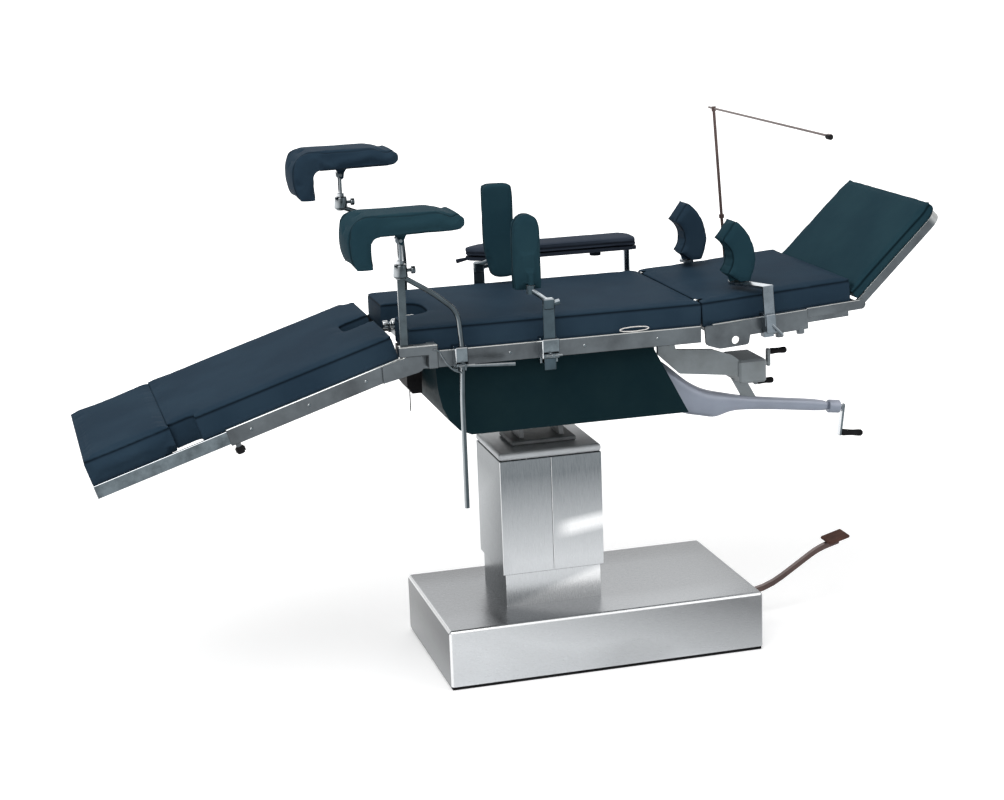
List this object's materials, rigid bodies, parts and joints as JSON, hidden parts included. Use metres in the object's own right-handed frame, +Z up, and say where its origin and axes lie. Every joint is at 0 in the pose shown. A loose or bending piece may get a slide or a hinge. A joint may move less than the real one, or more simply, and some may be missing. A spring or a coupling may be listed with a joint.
{
  "type": "operating table",
  "caption": "Manual hydraulic operating table with a lift column, crank tilts, a jointed padded top, and knee, side, shoulder and arm rests on its side rails.",
  "frame": {"origin": "on the floor, under the middle of the base plate's underside", "axes": "+Z up; +X along the table to the head end; -Y towards the side the cranks are on"},
  "size_m": [2.0813, 0.857, 1.2984],
  "materials": {
    "stainless": "brushed stainless sheet",
    "polished_steel": "polished chrome plate",
    "rail_steel": "brushed steel bar",
    "grey_casting": "grey satin paint on a casting",
    "pale_housing": "pale grey gloss paint",
    "dark_paint": "dark green satin paint",
    "black_plastic": "black moulded plastic",
    "black_rubber": "black rubber",
    "navy_leather": "dark blue seamless upholstery",
    "teal_leather": "dark teal seamless upholstery",
    "cast_iron": "dark primed cast iron"
  },
  "bodies": {
    "base": {"base_plate": "cast_iron", "base_cover": "stainless", "column_plinth": "stainless", "hydraulic_unit": "cast_iron"},
    "pedal": {"pedal_lever": "stainless", "pedal_tread": "black_rubber"},
    "plunger": {"pump_plunger": "polished_steel"},
    "carriage": {"column_cover_foot_half": "stainless", "column_cover_head_half": "stainless", "column_cap": "stainless", "lift_ram": "polished_steel", "tilt_yoke": "cast_iron"},
    "cross": {"tilt_cross": "rail_steel"},
    "seat": {"seat_frame": "rail_steel", "seat_cushion": "navy_leather", "frame_shroud": "dark_paint", "drive_housing": "pale_housing", "gear_bracket": "grey_casting", "leg_hinge_cover": "black_plastic", "near_knee_clamp": "polished_steel", "far_knee_clamp": "polished_steel", "near_side_clamp": "polished_steel", "far_side_clamp": "polished_steel", "arm_board_clamp": "polished_steel"},
    "release": {"leg_release_knob": "polished_steel"},
    "tilt_crank": {"main_crank": "polished_steel"},
    "tilt_crank_grip": {"main_crank_grip": "black_plastic"},
    "back_crank": {"upper_crank": "grey_casting"},
    "back_crank_grip": {"upper_crank_grip": "black_plastic"},
    "side_crank": {"lower_crank": "grey_casting"},
    "side_crank_grip": {"lower_crank_grip": "black_plastic"},
    "back": {"back_frame": "rail_steel", "back_cushion": "navy_leather", "head_arms": "rail_steel", "screen_clamp": "polished_steel", "near_shoulder_bracket": "stainless", "far_shoulder_bracket": "stainless"},
    "near_shoulder": {"near_shoulder_pad": "teal_leather"},
    "far_shoulder": {"far_shoulder_pad": "navy_leather"},
    "screen_post": {"screen_pole": "polished_steel"},
    "screen_arm": {"screen_bar": "polished_steel"},
    "head": {"head_frame": "rail_steel", "head_cushion": "teal_leather"},
    "leg": {"leg_frame": "rail_steel", "leg_cushion": "navy_leather"},
    "foot": {"foot_frame": "stainless", "foot_cushion": "navy_leather"},
    "foot_lock": {"foot_lock_knob": "black_plastic"},
    "near_knee_post": {"near_knee_pole": "polished_steel"},
    "near_knee_swivel": {"near_knee_rod": "polished_steel"},
    "near_knee_rest": {"near_knee_pad": "teal_leather"},
    "far_knee_post": {"far_knee_pole": "polished_steel"},
    "far_knee_swivel": {"far_knee_rod": "polished_steel"},
    "far_knee_rest": {"far_knee_pad": "navy_leather"},
    "near_side_mast": {"near_side_post": "polished_steel"},
    "near_side_rest": {"near_side_pad": "teal_leather"},
    "far_side_mast": {"far_side_post": "polished_steel"},
    "far_side_rest": {"far_side_pad": "teal_leather"},
    "arm_rest": {"arm_board": "black_plastic", "arm_board_pad": "navy_leather"}
  },
  "joints": [
    {"name": "column_lift", "type": "slide", "parent": "base", "child": "carriage", "axis": [0, 0, 1], "range_m": [-0.07, 0.17]},
    {"name": "pedal_stroke", "type": "hinge", "parent": "base", "child": "pedal", "pos_m": [0.345, 0, 0.065], "axis": [0, 1, 0], "range_deg": [0, 18], "stiffness_Nm_per_rad": 12, "springref_deg": -34.38},
    {"name": "pump_stroke", "type": "slide", "parent": "base", "child": "plunger", "axis": [0, 0, 1], "range_m": [0, 0.0158]},
    {"name": "lateral_tilt", "type": "hinge", "parent": "carriage", "child": "cross", "pos_m": [-0.102, 0, 0.655], "axis": [1, 0, 0], "range_deg": [-18, 18]},
    {"name": "longitudinal_tilt", "type": "hinge", "parent": "cross", "child": "seat", "pos_m": [-0.102, 0, 0.655], "axis": [0, -1, 0], "range_deg": [-25, 25]},
    {"name": "tilt_crank_turn", "type": "hinge", "parent": "seat", "child": "tilt_crank", "pos_m": [0.65, -0.12, 0.5735], "axis": [0.9925, 0, -0.1219], "range_deg": [-750, 750]},
    {"name": "tilt_crank_grip_spin", "type": "hinge", "parent": "tilt_crank", "child": "tilt_crank_grip", "pos_m": [0.64779, -0.12, 0.50627], "axis": [0.9925, 0, -0.1219], "range_deg": [-180, 180]},
    {"name": "back_crank_turn", "type": "hinge", "parent": "seat", "child": "back_crank", "pos_m": [0.437, -0.152, 0.712], "axis": [1, 0, 0], "range_deg": [-275, 1320]},
    {"name": "back_crank_grip_spin", "type": "hinge", "parent": "back_crank", "child": "back_crank_grip", "pos_m": [0.443, -0.152, 0.74], "axis": [1, 0, 0], "range_deg": [-180, 180]},
    {"name": "side_crank_turn", "type": "hinge", "parent": "seat", "child": "side_crank", "pos_m": [0.437, -0.068, 0.686], "axis": [1, 0, 0], "range_deg": [-540, 540]},
    {"name": "side_crank_grip_spin", "type": "hinge", "parent": "side_crank", "child": "side_crank_grip", "pos_m": [0.443, -0.068, 0.646], "axis": [1, 0, 0], "range_deg": [-180, 180]},
    {"name": "back_lift", "type": "hinge", "parent": "seat", "child": "back", "pos_m": [0.245, 0, 0.889], "axis": [0, -1, 0], "range_deg": [-13.75, 66]},
    {"name": "head_tilt", "type": "hinge", "parent": "back", "child": "head", "pos_m": [0.64897, 0, 0.85685], "axis": [0, 1, 0], "range_deg": [-5.75, 99.25]},
    {"name": "leg_tilt", "type": "hinge", "parent": "seat", "child": "leg", "pos_m": [-0.455, 0, 0.816], "axis": [0, 1, 0], "range_deg": [-50, 24]},
    {"name": "foot_extend", "type": "slide", "parent": "leg", "child": "foot", "axis": [-0.9542, 0, -0.299], "range_m": [0, 0.1]},
    {"name": "foot_lock_turn", "type": "hinge", "parent": "leg", "child": "foot_lock", "pos_m": [-0.8676, -0.243, 0.66123], "axis": [-0.299, 0, 0.9542], "range_deg": [-90, 90]},
    {"name": "leg_release_turn", "type": "hinge", "parent": "seat", "child": "release", "pos_m": [-0.4213, -0.012, 0.862], "axis": [-1, 0, 0], "range_deg": [0, 90]},
    {"name": "near_shoulder_turn", "type": "hinge", "parent": "back", "child": "near_shoulder", "pos_m": [0.35486, -0.165, 0.92526], "axis": [-0.0654, 0, 0.9979], "range_deg": [-30, 30]},
    {"name": "far_shoulder_turn", "type": "hinge", "parent": "back", "child": "far_shoulder", "pos_m": [0.35486, 0.165, 0.92526], "axis": [-0.0654, 0, 0.9979], "range_deg": [-30, 30]},
    {"name": "screen_height", "type": "slide", "parent": "back", "child": "screen_post", "axis": [-0.0654, 0, 0.9979], "range_m": [0, 0.05]},
    {"name": "screen_swing", "type": "hinge", "parent": "screen_post", "child": "screen_arm", "pos_m": [0.47527, 0.272, 1.28992], "axis": [-0.0654, 0, 0.9979], "range_deg": [-90, 90]},
    {"name": "arm_board_swing", "type": "hinge", "parent": "seat", "child": "arm_rest", "pos_m": [0.248, 0.33, 0.938], "axis": [0, 0, 1], "range_deg": [-110, 0]},
    {"name": "near_knee_height", "type": "slide", "parent": "seat", "child": "near_knee_post", "axis": [0, 0, 1], "range_m": [0, 0.15]},
    {"name": "near_knee_swing", "type": "hinge", "parent": "near_knee_post", "child": "near_knee_swivel", "pos_m": [-0.484, -0.272, 1.036], "axis": [0, 0, 1], "range_deg": [-90, 90]},
    {"name": "near_knee_tilt", "type": "hinge", "parent": "near_knee_swivel", "child": "near_knee_rest", "pos_m": [-0.484, -0.272, 1.106], "axis": [0, 1, 0], "range_deg": [-20, 20]},
    {"name": "far_knee_height", "type": "slide", "parent": "seat", "child": "far_knee_post", "axis": [0, 0, 1], "range_m": [0, 0.14]},
    {"name": "far_knee_swing", "type": "hinge", "parent": "far_knee_post", "child": "far_knee_swivel", "pos_m": [-0.512, 0.272, 1.121], "axis": [0, 0, 1], "range_deg": [-90, 90]},
    {"name": "far_knee_tilt", "type": "hinge", "parent": "far_knee_swivel", "child": "far_knee_rest", "pos_m": [-0.512, 0.272, 1.191], "axis": [0, 1, 0], "range_deg": [-20, 20]},
    {"name": "near_side_height", "type": "slide", "parent": "seat", "child": "near_side_mast", "axis": [0, 0, 1], "range_m": [-0.012, 0.05]},
    {"name": "near_side_turn", "type": "hinge", "parent": "near_side_mast", "child": "near_side_rest", "pos_m": [-0.169, -0.2235, 0.958], "axis": [0, 0, 1], "range_deg": [-30, 30]},
    {"name": "far_side_height", "type": "slide", "parent": "seat", "child": "far_side_mast", "axis": [0, 0, 1], "range_m": [-0.012, 0.05]},
    {"name": "far_side_turn", "type": "hinge", "parent": "far_side_mast", "child": "far_side_rest", "pos_m": [-0.1345, 0.2235, 0.958], "axis": [0, 0, 1], "range_deg": [-30, 30]}
  ],
  "couplings": [
    {"joint": "pump_stroke", "follows": "pedal_stroke", "m_per_rad": 0.05},
    {"joint": "tilt_crank_turn", "follows": "longitudinal_tilt", "ratio": 30},
    {"joint": "back_crank_turn", "follows": "back_lift", "ratio": 20},
    {"joint": "side_crank_turn", "follows": "lateral_tilt", "ratio": 30}
  ]
}
